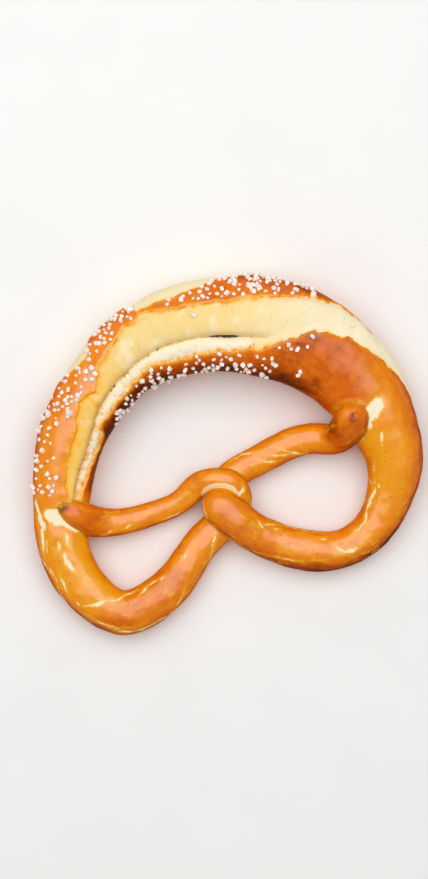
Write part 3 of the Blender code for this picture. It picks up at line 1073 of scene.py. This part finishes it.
class Bench:
    """Adds nodes to a shader or a node group, and joins them up."""

    def __init__(self, tree: bpy.types.NodeTree) -> None:
        """Starts on a tree."""
        self.tree = tree

    def node(self, kind: str, **settings: object) -> bpy.types.Node:
        """Adds a node, with its settings.

        Args:
            kind: The node's type.
            settings: Values of the node's own properties.

        Returns:
            The node.
        """
        made = self.tree.nodes.new(kind)
        for name, value in settings.items():
            setattr(made, name, value)
        return made

    def feed(self, socket: Socket, value: Value) -> None:
        """Links a socket to another, or sets it to a value.

        Args:
            socket: The node's input.
            value: An output to link it to, or a plain value.
        """
        if isinstance(value, bpy.types.NodeSocket):
            self.tree.links.new(value, socket)
        else:
            socket.default_value = value

    def maths(self, operation: str, *values: Value) -> Socket:
        """A Math node on one or two values.

        Args:
            operation: What the node does.
            values: Sockets or numbers, in the node's order.

        Returns:
            The node's result.
        """
        made = self.node("ShaderNodeMath", operation=operation)
        for socket, value in zip(made.inputs, values, strict=False):
            self.feed(socket, value)
        return made.outputs[0]

    def plus(self, first: Value, second: Value) -> Socket:
        """Two values added."""
        return self.maths("ADD", first, second)

    def minus(self, first: Value, second: Value) -> Socket:
        """The first value less the second."""
        return self.maths("SUBTRACT", first, second)

    def times(self, first: Value, second: Value) -> Socket:
        """Two values multiplied."""
        return self.maths("MULTIPLY", first, second)

    def larger(self, first: Value, second: Value) -> Socket:
        """The larger of two values."""
        return self.maths("MAXIMUM", first, second)

    def unsigned(self, value: Value) -> Socket:
        """A value without its sign."""
        return self.maths("ABSOLUTE", value)

    def squared(self, value: Socket) -> Socket:
        """A value times itself."""
        return self.times(value, value)

    def centred(self, value: Socket) -> Socket:
        """A value from 0 to 1, moved to lie around 0."""
        return self.minus(value, 0.5)

    def step(self, value: Value, ends: Pair, low: float = 0.0, high: float = 1.0) -> Socket:
        """A smooth change from low at the first end to high at the second.

        Args:
            value: What is read.
            ends: Where the change starts and ends.
            low: The result at the first end.
            high: The result at the second end.

        Returns:
            A number between low and high.
        """
        made = self.node("ShaderNodeMapRange", interpolation_type="SMOOTHSTEP")
        for socket, setting in zip(made.inputs[:5], (value, *ends, low, high), strict=True):
            self.feed(socket, setting)
        return made.outputs[0]

    def edge(self, length: Value, ends: Pair, low: float = 0.0, high: float = 1.0) -> Socket:
        """A smooth change over a length, between two ends in millimetres."""
        return self.step(length, (ends[0] * MM, ends[1] * MM), low, high)

    def noise(self, at: Socket, size: float, detail: float = 2.0) -> Socket:
        """Noise whose lumps are about this many millimetres wide.

        Args:
            at: Coordinates in metres.
            size: Width of a lump in millimetres.
            detail: How many finer layers it has.

        Returns:
            A number around 0.5.
        """
        made = self.node("ShaderNodeTexNoise")
        self.feed(made.inputs["Vector"], at)
        self.feed(made.inputs["Scale"], 1 / (size * MM))
        self.feed(made.inputs["Detail"], detail)
        return made.outputs["Fac"]

    def mix(self, share: Value, first: Value, second: Value) -> Socket:
        """The first colour where the share is 0, the second where it is 1.

        Args:
            share: How much of the second.
            first: A colour.
            second: Another colour.

        Returns:
            The mixed colour.
        """
        made = self.node("ShaderNodeMix", data_type="RGBA")
        for name, value in (("Factor_Float", share), ("A_Color", first), ("B_Color", second)):
            socket = next(s for s in made.inputs if s.identifier == name)
            self.feed(socket, value)
        return next(s for s in made.outputs if s.identifier == "Result_Color")

    def ramp(self, value: Socket, stops: Sequence[tuple[float, Colour]]) -> Socket:
        """Colours at stops along a value.

        Args:
            value: A number from 0 to 1.
            stops: Rising places, each with its colour.

        Returns:
            The colour.
        """
        made = self.node("ShaderNodeValToRGB")
        ramp = made.color_ramp
        while len(ramp.elements) < len(stops):
            ramp.elements.new(0.5)
        for element, (place, colour) in zip(ramp.elements, stops, strict=True):
            element.position, element.color = place, colour
        self.feed(made.inputs[0], value)
        return made.outputs[0]

    def split(self, vector: Socket) -> tuple[Socket, ...]:
        """A vector's three numbers.

        Args:
            vector: The vector.

        Returns:
            Its x, y and z.
        """
        made = self.node("ShaderNodeSeparateXYZ")
        self.feed(made.inputs[0], vector)
        return tuple(made.outputs)

    def stretched(self, at: Socket, shares: tuple[float, float, float]) -> Socket:
        """A pattern's coordinates, stretched by shares of their own size.

        Args:
            at: The coordinates.
            shares: A factor for each axis, under 1 to draw it out.

        Returns:
            The new coordinates.
        """
        made = self.node("ShaderNodeVectorMath", operation="MULTIPLY")
        self.feed(made.inputs[0], at)
        self.feed(made.inputs[1], shares)
        return made.outputs["Vector"]

    def shrunk(self, at: Socket, size: Socket) -> Socket:
        """A pattern's coordinates, divided by a size.

        Args:
            at: The coordinates.
            size: The size, where 1 changes nothing.

        Returns:
            The new coordinates.
        """
        made = self.node("ShaderNodeVectorMath", operation="SCALE")
        self.feed(made.inputs["Vector"], at)
        self.feed(made.inputs["Scale"], self.maths("DIVIDE", 1.0, size))
        return made.outputs["Vector"]

    def own_place(self) -> Socket:
        """A point's place on the piece."""
        return self.node("ShaderNodeTexCoord").outputs["Object"]

    def stored(self, name: str, part: str = "Fac") -> Socket:
        """One of the piece's own attributes."""
        return self.node("ShaderNodeAttribute", attribute_name=name).outputs[part]

    def bump(self, height: Socket, depth: float, under: Socket | None = None) -> Socket:
        """A bump of this many millimetres, on top of another one.

        Args:
            height: How high each point stands, as a share of the depth.
            depth: What a height of 1 stands for, in millimetres.
            under: The normal of the bump below.

        Returns:
            The bumped normal.
        """
        made = self.node("ShaderNodeBump")
        self.feed(made.inputs["Strength"], 1.0)
        self.feed(made.inputs["Distance"], depth * MM)
        self.feed(made.inputs["Height"], height)
        if under is not None:
            self.feed(made.inputs["Normal"], under)
        return made.outputs[0]


def new_material(name: str) -> tuple[Bench, bpy.types.Material, bpy.types.Node]:
    """An empty material with a Principled shader.

    Args:
        name: The material's name.

    Returns:
        A bench on its nodes, the material, and the Principled node.
    """
    material = bpy.data.materials.new(name)
    material.use_nodes = True
    return Bench(material.node_tree), material, material.node_tree.nodes["Principled BSDF"]


def set_shader(shader: bpy.types.Node, **settings: float | Colour) -> None:
    """Sets the shader's own sockets, named with underscores for spaces."""
    for name, value in settings.items():
        shader.inputs[name.replace("_", " ").title().replace("Ior", "IOR")].default_value = value


def grain_group() -> bpy.types.NodeTree:
    """The fine grain shared by the finishes: soft mottling, specks, and a height for bump.

    Returns:
        The node group.
    """
    tree = bpy.data.node_groups.new("fine_grain", "ShaderNodeTree")
    for name, kind in (("At", "NodeSocketVector"), ("Size", "NodeSocketFloat")):
        tree.interface.new_socket(name, in_out="INPUT", socket_type=kind)
    for name in ("Mottle", "Specks", "Height"):
        tree.interface.new_socket(name, in_out="OUTPUT", socket_type="NodeSocketFloat")
    bench = Bench(tree)
    given = bench.node("NodeGroupInput").outputs
    at = bench.shrunk(given["At"], given["Size"])
    mottle = bench.noise(at, 8.0, 3.0)
    specks = bench.step(bench.noise(at, 1.2, 1.0), (0.68, 0.75))
    height = bench.plus(bench.times(mottle, 0.5), bench.noise(at, 1.1, 3.0))
    out = bench.node("NodeGroupOutput").inputs
    for socket, value in zip(out, (mottle, specks, height), strict=False):
        bench.feed(socket, value)
    return tree


def place_grain(bench: Bench, grain: bpy.types.NodeTree, at: Socket, size: float) -> tuple[Socket, ...]:
    """Places the shared grain in a material.

    Args:
        bench: The material's bench.
        grain: The shared fine grain.
        at: The coordinates that it follows.
        size: How coarse it is.

    Returns:
        Its mottling, specks and height.
    """
    fine = bench.node("ShaderNodeGroup", node_tree=grain)
    bench.feed(fine.inputs["At"], at)
    bench.feed(fine.inputs["Size"], size)
    return tuple(fine.outputs[name] for name in ("Mottle", "Specks", "Height"))


@dataclass(frozen=True)
class CrustFinish:
    """Lye crust and the pale dough under it: glossy browned skin, cream crumb, torn bands and cracks.

    Lengths are in millimetres. A pair is where a soft edge starts and ends.
    """

    name: str = "baked_dough"
    golden: Colour = paint(250, 176, 0)
    amber: Colour = paint(246, 144, 0)
    brown: Colour = paint(220, 104, 0)
    dark: Colour = paint(164, 66, 0)
    char: Colour = paint(102, 40, 2)
    honey: Colour = paint(244, 198, 104)
    cream: Colour = paint(245, 214, 142)
    pale: Colour = paint(249, 237, 204)
    white: Colour = paint(251, 242, 216)
    toasted: Colour = paint(246, 178, 36)
    crease: Colour = paint(176, 112, 12)
    # Painted shade: the darker colour along the creases between strands and in the crumb's wrinkles.
    speck: Colour = paint(132, 62, 10)
    # Painted shade: the dark of the crumb's small holes by the split's crease.
    pore_shade: Colour = paint(120, 76, 24)
    # Painted shade: the dark bottom of the split's slit.
    slit: Colour = paint(74, 42, 26)
    under: Colour = paint(164, 96, 26)

    bake_stops: tuple[float, ...] = (0.0, 0.36, 0.66, 0.86, 1.0)
    bake_patterns: tuple[float, ...] = (0.36, 0.28, 0.22)
    # Painted shade: the crust is painted darker where the rope turns down at its flanks, by how far each
    # point faces up.
    shade_facing: Pair = (0.3, 0.92)
    flank_painted_shade: float = 0.22
    crust_rim: Pair = (-2.0, -0.2)
    speck_share: float = 0.5
    vein_width: Pair = (0.035, 0.010)
    vein_patches: Pair = (0.50, 0.60)
    veined_from: Pair = (100.0, 130.0)

    fray: float = 1.5
    sway: float = 2.2
    crumb_edge: Pair = (-0.12, 0.2)
    torn_edge: Pair = (-0.2, 0.5)
    underside: Pair = (2.0, 0.3)

    crack_wiggle: float = 0.4
    crack_fray: float = 0.7
    crack_edge: Pair = (0.22, -0.04)
    crack_core: Pair = (0.1, -0.4)
    crack_halo: Pair = (1.4, 0.0)
    seam_fray: float = 0.6
    seam_glow: Pair = (3.2, 0.4)
    # Painted shade: the width of the darker line along the creases.
    seam_shade_line: Pair = (0.8, 0.1)
    arch_starts: Pair = (61.0, 70.0)
    arch_ends: Pair = (92.0, 84.0)
    arch_width: float = 2.6

    honeyed_from: Pair = (-35.0, -75.0)
    pale_from: Pair = (-5.0, 50.0)
    flank_from: Pair = (-15.0, -20.0)
    flank_until: Pair = (11.0, -3.0)
    fringe_sway: float = 3.4
    fringe_width: Pair = (0.1, 1.8)
    # Painted shade: how far from the crease the crumb's small dark holes reach.
    pore_reach: Pair = (1.3, 0.2)
    # Painted shade in the slit: how wide it is and how it narrows along the split.
    slit_shade_edge: Pair = (0.95, 0.45)
    slit_shade_taper: float = 0.011

    gloss_facing: Pair = (0.45, 0.95)
    gloss_bake: Pair = (0.4, 0.75)
    least_gloss: float = 0.4
    crust_roughness: float = 0.50
    crumb_roughness: float = 0.72
    uneven_roughness: float = 0.2
    skin_bump: float = 0.16
    torn_bump: float = 0.35

    def build(self, grain: bpy.types.NodeTree) -> bpy.types.Material:
        """Makes the material.

        Args:
            grain: The shared fine grain.

        Returns:
            The material.
        """
        bench, material, shader = new_material(self.name)
        rope = bench.stored("rope", "Vector")
        mottle, specks, height = place_grain(bench, grain, rope, 1.0)
        fray = bench.times(bench.centred(bench.noise(rope, 1.7, 4.0)), self.fray * MM)
        sway = bench.times(bench.centred(bench.noise(rope, 4.5)), self.sway * MM)
        depth = bench.plus(bench.plus(bench.stored("crumb"), fray), sway)
        crumb = bench.edge(depth, self.crumb_edge)
        valley = bench.plus(bench.stored("torn"), fray)
        torn = bench.times(bench.edge(valley, self.torn_edge), crumb)
        crust = self.crust(bench, rope, mottle, specks, depth)
        cream = self.crumb(bench, rope, mottle, depth, valley, torn)
        colour, bare = self.cracks(bench, rope, mottle, fray, bench.mix(crumb, crust, cream))
        low = bench.edge(bench.split(bench.own_place())[2], self.underside)
        bench.feed(shader.inputs["Base Color"], bench.mix(bench.times(low, 0.75), colour, self.under))
        self.shine(bench, shader, height, bench.larger(crumb, bare), low)
        wrinkles = bench.noise(bench.stretched(rope, (0.5, 1.2, 1.2)), 1.8, 4.0)
        skin = bench.bump(bench.plus(height, wrinkles), self.skin_bump)
        skin = bench.bump(bench.times(bench.noise(rope, 0.8, 4.0), torn), self.torn_bump, skin)
        bench.feed(shader.inputs["Normal"], skin)
        return material

    def crust(self, bench: Bench, rope: Socket, mottle: Socket, specks: Socket, depth: Socket) -> Socket:
        """The browned skin's colour, with painted shade on the flanks that face down and on the rope's low
        sides.

        Args:
            bench: The material's bench.
            rope: Coordinates along the rope.
            mottle: Soft mottling.
            specks: Fine dark pores.
            depth: How far a point lies from the crumb's edge, in metres, and negative on the crust.

        Returns:
            The colour.
        """
        streaks = bench.noise(bench.stretched(rope, (0.35, 1.0, 1.0)), 2.4, 3.0)
        spots = bench.noise(rope, 3.0)
        # The stored darkness holds real browning with painted shade and a painted sheen.
        bake_and_painted_light = bench.stored("bake_and_painted_light")
        for pattern, share in zip((mottle, streaks, spots), self.bake_patterns, strict=True):
            bake_and_painted_light = bench.plus(bake_and_painted_light, bench.times(bench.centred(pattern), share))
        # Painted shade: the crust is darker on the flanks that face down.
        bake_and_painted_light = bench.plus(bake_and_painted_light, bench.step(bench.stored("upward"), self.shade_facing, self.flank_painted_shade, 0.0))
        colours = (self.golden, self.amber, self.brown, self.dark, self.char)
        crust = bench.ramp(bake_and_painted_light, tuple(zip(self.bake_stops, colours, strict=True)))
        crust = bench.mix(bench.times(bench.edge(depth, self.crust_rim), 0.45), crust, self.golden)
        place = bench.unsigned(bench.split(rope)[0])
        veins = bench.centred(bench.noise(bench.stretched(rope, (0.3, 1.0, 1.0)), 4.2, 3.0))
        veins = bench.step(bench.unsigned(veins), self.vein_width)
        veins = bench.times(veins, bench.edge(place, self.veined_from))
        veins = bench.times(veins, bench.step(bench.noise(rope, 7.0, 1.0), self.vein_patches, 0.0, 0.6))
        crust = bench.mix(veins, crust, self.toasted)
        return bench.mix(bench.times(specks, self.speck_share), crust, self.speck)

    def crumb(
        self, bench: Bench, rope: Socket, mottle: Socket, depth: Socket, valley: Socket, torn: Socket
    ) -> Socket:
        """The colour of the pale dough in the split, with painted shade in its slit, its small holes and its
        wrinkles.

        Args:
            bench: The material's bench.
            rope: Coordinates along the rope.
            mottle: Soft mottling.
            depth: How far inside the split a point lies, in metres.
            valley: How far a point lies past the split's crease, in metres.
            torn: Where the dough has torn open.

        Returns:
            The colour.
        """
        place = bench.split(rope)[0]
        patches = bench.noise(rope, 5.0)
        left = bench.edge(place, self.honeyed_from)
        right = bench.edge(place, self.pale_from)
        cream = bench.mix(bench.times(right, 0.9), self.cream, self.pale)
        cream = bench.mix(left, cream, self.honey)
        warm = bench.times(bench.step(patches, (0.54, 0.70)), bench.times(left, 0.8))
        cream = bench.mix(warm, cream, self.toasted)
        cream = bench.mix(bench.times(bench.step(mottle, (0.5, 0.7)), 0.6), cream, self.pale)
        flank = bench.edge(valley, self.flank_from, 0.0, 0.6)
        flank = bench.times(flank, bench.edge(place, self.flank_until))
        cream = bench.mix(flank, cream, self.pale)
        cream = bench.mix(bench.times(torn, 0.85), cream, self.white)
        fringe = bench.plus(depth, bench.times(bench.centred(patches), self.fringe_sway * MM))
        fringe = bench.edge(fringe, self.fringe_width, 0.75, 0.0)
        fringe = bench.times(fringe, bench.step(right, (0.0, 1.0), 1.0, 0.45))
        cream = bench.mix(fringe, cream, self.toasted)
        stains = bench.times(bench.step(bench.noise(rope, 3.2, 3.0), (0.52, 0.62)), left)
        cream = bench.mix(bench.times(stains, bench.times(torn, 0.6)), cream, self.toasted)
        # Painted shade: thin darker lines across the crumb where it wrinkles.
        wrinkle_shade = bench.centred(bench.noise(bench.stretched(rope, (1.0, 0.3, 0.3)), 7.0))
        wrinkle_shade = bench.step(bench.unsigned(wrinkle_shade), (0.008, 0.0), 0.0, 0.16)
        cream = bench.mix(wrinkle_shade, cream, self.crease)
        # Painted shade: small dark holes in the crumb near the crease.
        near = bench.edge(bench.unsigned(valley), self.pore_reach)
        pores = bench.times(bench.step(bench.noise(rope, 1.5), (0.58, 0.66)), near)
        cream = bench.mix(bench.times(pores, 0.7), cream, self.pore_shade)
        # Painted shade: the slit is painted dark along the split's crease, narrowing towards its ends.
        taper = bench.times(bench.squared(place), self.slit_shade_taper / MM)
        slit_shade = bench.edge(bench.plus(bench.unsigned(valley), taper), self.slit_shade_edge, 0.0, 0.9)
        return bench.mix(slit_shade, cream, self.slit)

    def cracks(
        self, bench: Bench, rope: Socket, mottle: Socket, fray: Socket, colour: Socket
    ) -> tuple[Socket, Socket]:
        """The cracks, bare patches and creases, each with its golden rim, and a painted shade line along the
        creases.

        Args:
            bench: The material's bench.
            rope: Coordinates along the rope.
            mottle: Soft mottling.
            fray: A small uneven length, in metres.
            colour: The dough's colour without them.

        Returns:
            The colour, and where the crust is open.
        """
        along_it, across_it, half_width = bench.split(bench.stored("tear", "Vector"))
        wiggle = bench.centred(bench.noise(rope, 2.6, 3.0))
        wiggle = bench.maths("DIVIDE", wiggle, bench.times(half_width, self.crack_wiggle))
        across_it = bench.plus(across_it, wiggle)
        reach = bench.maths("SQRT", bench.plus(bench.squared(along_it), bench.squared(across_it)))
        gap = bench.times(bench.minus(reach, 1.0), bench.times(half_width, MM))
        gap = bench.plus(gap, bench.times(fray, self.seam_fray))
        gap = bench.plus(gap, bench.times(bench.centred(bench.noise(rope, 0.7, 3.0)), self.crack_fray * MM))
        halo = bench.edge(gap, self.crack_halo)
        seam = bench.plus(bench.stored("seam"), bench.times(fray, self.seam_fray))
        glow = bench.times(bench.edge(seam, self.seam_glow), bench.step(mottle, (0.3, 0.6)))
        colour = bench.mix(bench.times(bench.larger(halo, glow), 0.55), colour, self.golden)
        # Painted shade: a darker line along the creases where strands meet.
        colour = bench.mix(bench.times(bench.edge(seam, self.seam_shade_line), 0.6), colour, self.crease)
        arch = self.arch_band(bench, rope, seam)
        bare = bench.larger(bench.edge(gap, self.crack_edge), arch)
        inmost = bench.larger(bench.edge(gap, self.crack_core), bench.times(arch, 0.5))
        return bench.mix(bare, colour, bench.mix(inmost, self.honey, self.pale)), bare

    def arch_band(self, bench: Bench, rope: Socket, seam: Socket) -> Socket:
        """Where the arch of the twist shows a pale band along the strand that it bends round.

        Args:
            bench: The material's bench.
            rope: Coordinates along the rope.
            seam: Distance to the nearest crease, in metres.

        Returns:
            The band, from 0 to 1.
        """
        place, out, _ = bench.split(rope)
        place = bench.minus(place, Part.LEFT_ARM.value * MM)
        on_arch = bench.times(bench.edge(place, self.arch_starts), bench.edge(place, self.arch_ends))
        inner = bench.edge(out, (0.5, -0.5))
        wide = bench.times(bench.times(on_arch, inner), self.arch_width * MM)
        return bench.edge(bench.minus(seam, wide), (0.1, -0.15))

    def shine(self, bench: Bench, shader: bpy.types.Node, height: Socket, bare: Socket, low: Socket) -> None:
        """Gives the shader its roughness and its gloss, which the crust has where it faces up.

        Args:
            bench: The material's bench.
            shader: The material's shader.
            height: The fine grain's height.
            bare: Where the crust is open.
            low: Where the dough nears the tray.
        """
        rough = bench.step(bare, (0.0, 1.0), self.crust_roughness, self.crumb_roughness)
        rough = bench.plus(rough, bench.times(bench.centred(height), self.uneven_roughness))
        bench.feed(shader.inputs["Roughness"], rough)
        covered = bench.step(bench.larger(bare, low), (0.0, 0.9), 1.0, 0.0)
        gloss = bench.times(bench.step(bench.stored("upward"), self.gloss_facing), covered)
        gloss = bench.times(gloss, bench.step(bench.stored("bake_and_painted_light"), self.gloss_bake, 1.0, self.least_gloss))
        bench.feed(shader.inputs["Coat Weight"], gloss)
        set_shader(shader, coat_roughness=0.26, coat_ior=1.75, specular_ior_level=0.03, ior=1.45)


@dataclass(frozen=True)
class SaltFinish:
    """Coarse salt: cloudy white crystals with bright faces."""

    name: str = "salt_crystal"
    white: Colour = paint(252, 246, 240)
    cloudy: Colour = paint(244, 224, 206)
    grain_size: float = 0.3
    bump: float = 0.05

    def build(self, grain: bpy.types.NodeTree) -> bpy.types.Material:
        """Makes the material.

        Args:
            grain: The shared fine grain.

        Returns:
            The material.
        """
        bench, material, shader = new_material(self.name)
        mottle, _, height = place_grain(bench, grain, bench.own_place(), self.grain_size)
        colour = bench.mix(bench.step(mottle, (0.4, 0.7)), self.white, self.cloudy)
        bench.feed(shader.inputs["Base Color"], colour)
        bench.feed(shader.inputs["Normal"], bench.bump(height, self.bump))
        bench.feed(shader.inputs["Roughness"], bench.step(mottle, (0.3, 0.7), 0.25, 0.45))
        set_shader(shader, subsurface_weight=0.25, subsurface_scale=0.001, specular_ior_level=0.6)
        return material


@dataclass
class Studio:
    """A plain pale floor, soft light and the camera, which looks straight down."""

    floor_size: float = 3.0
    floor_drop: float = 0.0002
    floor_colour: Colour = paint(243, 242, 240)
    floor_shade: Colour = paint(241, 240, 238)
    lens: float = 180.0
    sensor: float = 36.0
    seen_width: float = 0.191
    dough_height: float = 0.02
    sky: float = 0.40
    sky_gloss: float = 0.08
    key_power: float = 14.3
    key_size: Pair = (1.75, 1.25)
    key_place: tuple[float, float, float] = (-0.12, 0.38, 1.13)

    def floor(self) -> None:
        """Lays the floor just under the pretzel."""
        bpy.ops.object.select_all(action="DESELECT")
        bpy.ops.mesh.primitive_plane_add(size=self.floor_size, location=(0, 0, -self.floor_drop))
        floor = bpy.context.object
        floor.name = "floor"
        bpy.ops.object.transform_apply(location=True)
        bench, material, shader = new_material("floor_paper")
        shade = bench.step(bench.noise(bench.own_place(), 40.0), (0.3, 0.7))
        bench.feed(shader.inputs["Base Color"], bench.mix(shade, self.floor_colour, self.floor_shade))
        set_shader(shader, roughness=0.85, specular_ior_level=0.2)
        floor.data.materials.append(material)

    def lights(self) -> None:
        """Hangs one large soft lamp above the pretzel's top edge, and sets the sky's fill."""
        view_turn = Matrix.Rotation(-PHOTO_ROLL, 3, "Z")
        bpy.ops.object.light_add(type="AREA", location=view_turn @ Vector(self.key_place))
        lamp = bpy.context.object
        lamp.name = "key"
        lamp.rotation_euler = (0, 0, -PHOTO_ROLL)
        lamp.data.shape, lamp.data.energy = "RECTANGLE", self.key_power
        lamp.data.size, lamp.data.size_y = self.key_size
        world = bpy.data.worlds.new("sky")
        world.use_nodes = True
        bench = Bench(world.node_tree)
        glossy = bench.node("ShaderNodeLightPath").outputs["Is Glossy Ray"]
        backdrop = world.node_tree.nodes["Background"]
        backdrop.inputs["Color"].default_value = (1.0, 1.0, 1.0, 1.0)
        strength = bench.step(glossy, (0.0, 1.0), self.sky, self.sky * self.sky_gloss)
        bench.feed(backdrop.inputs["Strength"], strength)
        bpy.context.scene.world = world
        bpy.context.scene.view_settings.view_transform = "Standard"

    def camera(self) -> None:
        """Sets the camera over the pretzel, turned as the photograph was taken."""
        data = bpy.data.cameras.new("view")
        data.lens, data.sensor_width, data.sensor_fit = self.lens, self.sensor, "HORIZONTAL"
        eye = bpy.data.objects.new("view", data)
        bpy.context.scene.collection.objects.link(eye)
        eye.location = (0, 0, self.seen_width * self.lens / self.sensor + self.dough_height)
        eye.rotation_euler = (0, 0, -PHOTO_ROLL)
        bpy.context.scene.camera = eye

    def build(self) -> None:
        """Sets everything up."""
        self.floor()
        self.lights()
        self.camera()


def main() -> None:
    """Builds the pretzel's looks, piece by piece."""
    logging.basicConfig(level=logging.INFO)
    grain = grain_group()
    plan = Dough()
    dough = plan.build()
    dough.data.materials.clear()
    dough.data.materials.append(CrustFinish().build(grain))
    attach(dough, "root")
    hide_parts("pretzel")
    log.info("%s: %d faces", dough.name, len(dough.data.polygons))
    salt = Salt().build(dough, plan.strands[Part.SIDES])
    salt.data.materials.clear()
    salt.data.materials.append(SaltFinish().build(grain))
    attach(salt, "root")
    Studio().build()
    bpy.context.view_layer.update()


if __name__ == "__main__":
    main()
